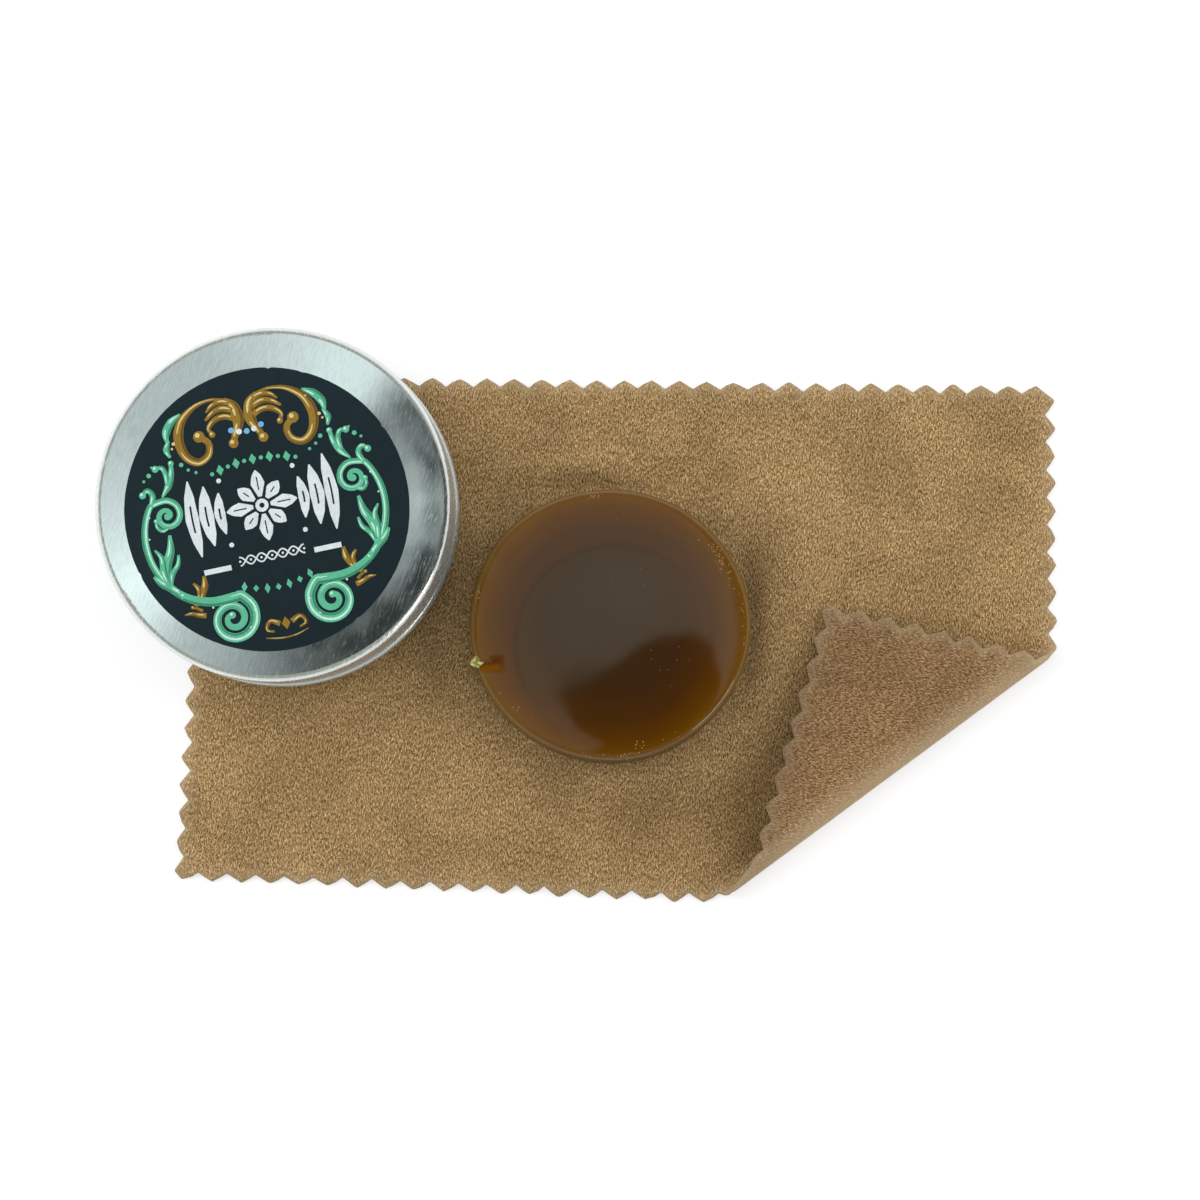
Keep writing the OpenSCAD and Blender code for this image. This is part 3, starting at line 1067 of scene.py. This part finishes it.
def add_side_ornament(marks, side):
    """Scrolls and leaves on one side of the label, mirrored for the other side."""

    def flip(points):
        return [(side * x, y) for x, y in points]

    top = (
        (3, 20), (5.2, 20.3), (8, 19.7), (10.6, 17.7), (11.7, 14.6),
        (11, 11.6), (9.1, 10.2), (7.2, 11.1), (6.8, 13.1), (8.2, 14.5),
    )
    scroll(marks, "gold", flip(top), (0.3, 0.5, 0.8, 1.3, 1.7, 1.6, 1.4, 1.2, 1.1, 1), 1)
    for points, widths, ball in (
        (
            ((2.9, 20), (1.4, 18.4), (1.1, 15.6), (2.2, 13.2), (2.6, 12.2)),
            (0.6, 1.7, 2.1, 1.3, 0.9), 0.85,
        ),
        (((2, 19.2), (3.6, 19.6), (5.2, 19.2), (6.2, 18.3)), (0.9, 1, 0.8, 0.3), 0),
        (((1.7, 17.8), (3.4, 18.4), (5, 18.1), (6.6, 17)), (0.9, 1.1, 0.9, 0.4), 0),
        (((1.6, 16.3), (3.2, 17), (4.9, 16.8), (6.3, 15.6), (5.9, 14.4)), (0.9, 1, 1, 0.8, 0.5), 0.55),
        (((12.1, -9), (12.3, -10.8), (13.2, -12.6), (14.2, -13.4)), (0.5, 1.2, 0.9, 0.2), 0.5),
        (((14.1, -9.9), (13.4, -11), (13.6, -12.4), (14.2, -13.4)), (0.4, 0.8, 0.6, 0.2), 0.4),
        (((13, -15.7), (14.2, -15.4), (15.4, -14.9), (16.6, -14.9)), (0.9, 0.8, 0.6, 0.2), 0),
        (((13.4, -14.8), (14.2, -14.3), (15, -13.9)), (0.5, 0.5, 0.2), 0.3),
    ):
        scroll(marks, "gold", flip(points), widths, ball)
    stem = curl((16.2, 2.3), 2.9, 60, 1.45)[::-1] + [
        (18.9, 4.2), (20.3, 1), (20.7, -2.6), (20, -6.2),
        (18.2, -9.6), (15.4, -12.2), (11.6, -13.6), (7.4, -13.6),
    ] + curl((8.6, -17.2), 4.2, 118, 1.9)
    widths = [0.7, 0.9, 1, 1, 1, 1.1, 1.1, 1.2, 1.3, 1.5, 1.7, 1.7, 1.6, 1.5, 1.3, 1.2, 1.1, 0.9]
    scroll(marks, "mint", flip(stem), widths, 0.62)
    disc(marks, "mint", (side * 16.1, 2.2), 0.62)
    for points, widths, ball in (
        (((10.6, 19), (12.4, 17.9), (13.6, 16.2), (13.7, 14.4)), (0.3, 1.3, 1.4, 0.4), 0),
        (((13.4, 14.9), (14.1, 13.4), (13.7, 12)), (0.4, 1.1, 0.4), 0),
        (((16.4, 5.6), (14.9, 7.4), (14.1, 9.2), (13.8, 11)), (0.3, 1.2, 1, 0.6), 0.5),
        (((15.2, 7.4), (15, 9.2), (15.5, 10.6), (16.6, 10.6)), (0.5, 0.9, 0.8, 0.5), 0.6),
        (((18.6, 4.4), (17.9, 6.2), (18.7, 7.3), (19.6, 6.6)), (0.6, 1, 0.9, 0.5), 0.6),
        (((16.1, 0.4), (17.4, 0), (18.2, 0.8), (18.2, 1.8)), (0.3, 0.7, 0.6, 0.4), 0.4),
        (((16.4, -1), (16.8, -3.6), (18, -6.2), (18.4, -9.2)), (0.5, 1.4, 1.7, 0.4), 0.6),
        (((19.4, -3), (18.5, -4.6), (18.6, -7), (18.2, -9.4)), (0.3, 1, 1.2, 0.4), 0.4),
        (((15.6, -4.6), (16, -6.2), (17.2, -7.6), (17.8, -9.6)), (0.4, 0.8, 0.9, 0.3), 0.4),
        (((20.4, -7.4), (19.4, -8.8), (17.9, -10), (16.2, -11.6)), (0.5, 1.2, 1.3, 0.3), 0.5),
    ):
        scroll(marks, "mint", flip(points), widths, ball)
    for x, y, r in (
        (12.1, 10.4, 0.38), (11.1, 9.3, 0.28), (9.9, 8.6, 0.28),
        (17.9, 9.7, 0.4), (18.9, 8.9, 0.26), (17.2, 11, 0.2),
    ):
        disc(marks, "mint", (side * x, y), r)
    for x, y, r in (
        (6, -19.2, 0.16), (11.6, -14.6, 0.18), (19.9, -1, 0.15), (19.2, 2.6, 0.15), (4.7, -16.4, 0.2),
        (12.7, 14.2, 0.3), (11, 17.7, 0.16), (13.1, 13.4, 0.2), (17, -10.4, 0.16),
    ):
        disc(marks, "gold_light" if y > 12 else "mint_light", (side * x, y), r)
    marks.append(("white", flip([(7.2, -8.1), (11.9, -8.1), (11.9, -9), (7.2, -9)])))


def add_middle_ornament(marks):
    """A plain rosette between lance leaves, with rows of lozenges, a braid and a small flourish."""
    middle = np.array([0, 0.8])
    for k in range(8):
        a = radians(45 * k)
        reach = 6.1 if k % 2 == 0 else 5
        petal = [middle + np.array((cos(a), sin(a))) * r for r in (1.5, 3.2, reach)]
        leaf(marks, petal, (0, 0.5, 0.8, 1), (0.6, 2.4, 1.6, 0.2), 0.2, (0.25, 0.75))
    disc(marks, "white", middle, 1.15)
    disc(marks, "ground", middle, 0.45)
    for side in (-1, 1):
        for x, half, wide in ((6.9, 3.6, 1.9), (9.2, 5.2, 2.5), (11.7, 6.6, 2.3)):
            at = np.array((side * x, 0.8))
            lance = [at + (0, half), at + (side * 0.4, 0), at - (0, half)]
            widths = (0.2, 0.7 * wide, wide, 0.7 * wide, 0.2)
            leaf(marks, lance, (0, 0.2, 0.5, 0.8, 1), widths, 0.3, (0.32, 0.68))
        for y in (6.4, -4.8):
            disc(marks, "white", (side * 6.4, y), 0.42)
        hook = [(side * x, y) for x, y in ((1, -19.6), (2.6, -18.9), (3.4, -20.2), (2.2, -20.8))]
        scroll(marks, "gold", hook, (0.9, 0.7, 0.5, 0.3))
    lozenge(marks, "gold", (0, -19.7), 1.5, 2.2)
    line = [(-3.8, -21.6), (-1.2, -22.1), (1.4, -22), (3.6, -21.3)]
    scroll(marks, "gold", line, (0.15, 0.3, 0.3, 0.12))
    for k in range(-5, 6):
        lift = 0.022 * (1.45 * k) ** 2
        if k % 2:
            disc(marks, "mint", (1.45 * k, 8.9 - lift), 0.36)
        else:
            lozenge(marks, "mint", (1.45 * k, 8.9 - lift), 1.3, 1.9)
    for k in range(-3, 4):
        centre = (1.9 * k, -13.4 + 0.035 * (1.9 * k) ** 2)
        lozenge(marks, "mint", centre, 1, 1.8 if k % 2 else 1.2, 4 * k)
    for phase in (0, pi):
        xs = np.linspace(-5.6, 5.6, 41)
        wave = [(x, -7.9 + 0.75 * cos(x * 1.7 + phase)) for x in xs]
        path, share = smooth_path(wave)
        band(marks, "white", path, share, np.full(len(share), 0.24))
    for k in range(-3, 4):
        disc(marks, "white", (1.85 * k, -7.9), 0.2)
    for k in range(-2, 3):
        disc(marks, "sky" if k % 2 == 0 else "white", (1.3 * k, 14.3 + 0.16 * k * k - 0.5), 0.5)


def label_marks():
    """Every printed shape as (ink, corners) in the label's own turned frame; later ones lie on top."""
    marks = []
    for side in (-1, 1):
        add_side_ornament(marks, side)
    add_middle_ornament(marks)
    return [(ink, np.array(corners) + PRINT_SHIFT) for ink, corners in marks]


def label_edge():
    """The label's cut edge: a circle with a few small nicks and a faint waver."""
    edge = []
    for k in range(300):
        theta = 2 * pi * k / 300
        r = LABEL_R + 0.05 * noise.noise((cos(theta) * 3, sin(theta) * 3, 1.0))
        r += 0.03 * noise.noise((cos(theta) * 24, sin(theta) * 24, 4.0))
        r -= sum(0.22 * exp(-((theta - nick) / 0.012) ** 2) for nick in EDGE_NICKS)
        edge.append((r * cos(theta), r * sin(theta)))
    return edge


def inks_of(middles, marks):
    """The ink under each point: that of the last mark that covers it, or the ground's."""
    found = np.zeros(len(middles), int)
    names = list(INKS)
    for ink, corners in marks:
        corners = np.array(corners)
        near = np.flatnonzero(
            (middles > corners.min(0)).all(1) & (middles < corners.max(0)).all(1)
        )
        found[near[inside(middles[near], corners)]] = names.index(ink)
    return found


def add_label():
    """A thin disc whose top is cut along every printed shape, each face in its ink."""
    edge, marks = label_edge(), label_marks()
    corners, lines = [], []
    for _, outline in marks:
        first, count = len(edge) + len(corners), len(outline)
        corners += [tuple(corner) for corner in outline]
        lines += [(first + i, first + (i + 1) % count) for i in range(count)]
    coords, faces, rim = triangulated(edge, corners, lines, 1e-5)
    inks = inks_of(coords[faces].mean(1), marks)
    flat = turn_by(coords, LABEL_TURN) + LABEL
    count, around = len(flat), len(rim)
    points = np.concatenate([raised(flat, LABEL_TOP), raised(flat[rim], LABEL_FOOT)])
    nexts = rim[1:] + rim[:1]
    walls = [(rim[k], count + k, count + (k + 1) % around, nexts[k]) for k in range(around)]
    under = range(count + around - 1, count - 1, -1)
    label = link_mesh("label_print", points, [*faces, *walls, under], smooth=False)
    palette = np.array([(*INKS[name], 1.0) for name in INKS])
    colours = np.concatenate([palette[inks], np.tile(palette[:1], (around + 1, 1))])
    ink = label.data.attributes.new("ink", "FLOAT_COLOR", "FACE")
    ink.data.foreach_set("color", colours.astype(np.float32).ravel())
    label.data.materials.append(label_material())
    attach(label, "lid")
    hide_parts("lid_label")


def label_material():
    """Satin printed paper: the ink's colour over a faint fibre and a little mottling."""
    mat, tree, shader = new_material("label_paper")
    ink = attribute(tree, "ink", "Color")
    local = in_millimetres(tree)
    fibre = noise_of(tree, local, 3.4, 3.0, 0.6)
    blotch = noise_of(tree, local, 0.5, 3.0, 0.55)
    tone = tinted(tree, ink, ramp(tree, fibre, ((0.3, 0.86), (0.7, 1.1))))
    tone = tinted(tree, tone, ramp(tree, blotch, ((0.3, 0.93), (0.7, 1.06))))
    feed(tree, shader, {
        "Base Color": tone,
        "Roughness": ramp(tree, fibre, ((0.3, 0.52), (0.7, 0.66))),
        "Specular IOR Level": 0.14,
        "Normal": bump_of(tree, fibre, 0.35, 0.00002),
    })
    return mat


add_label()
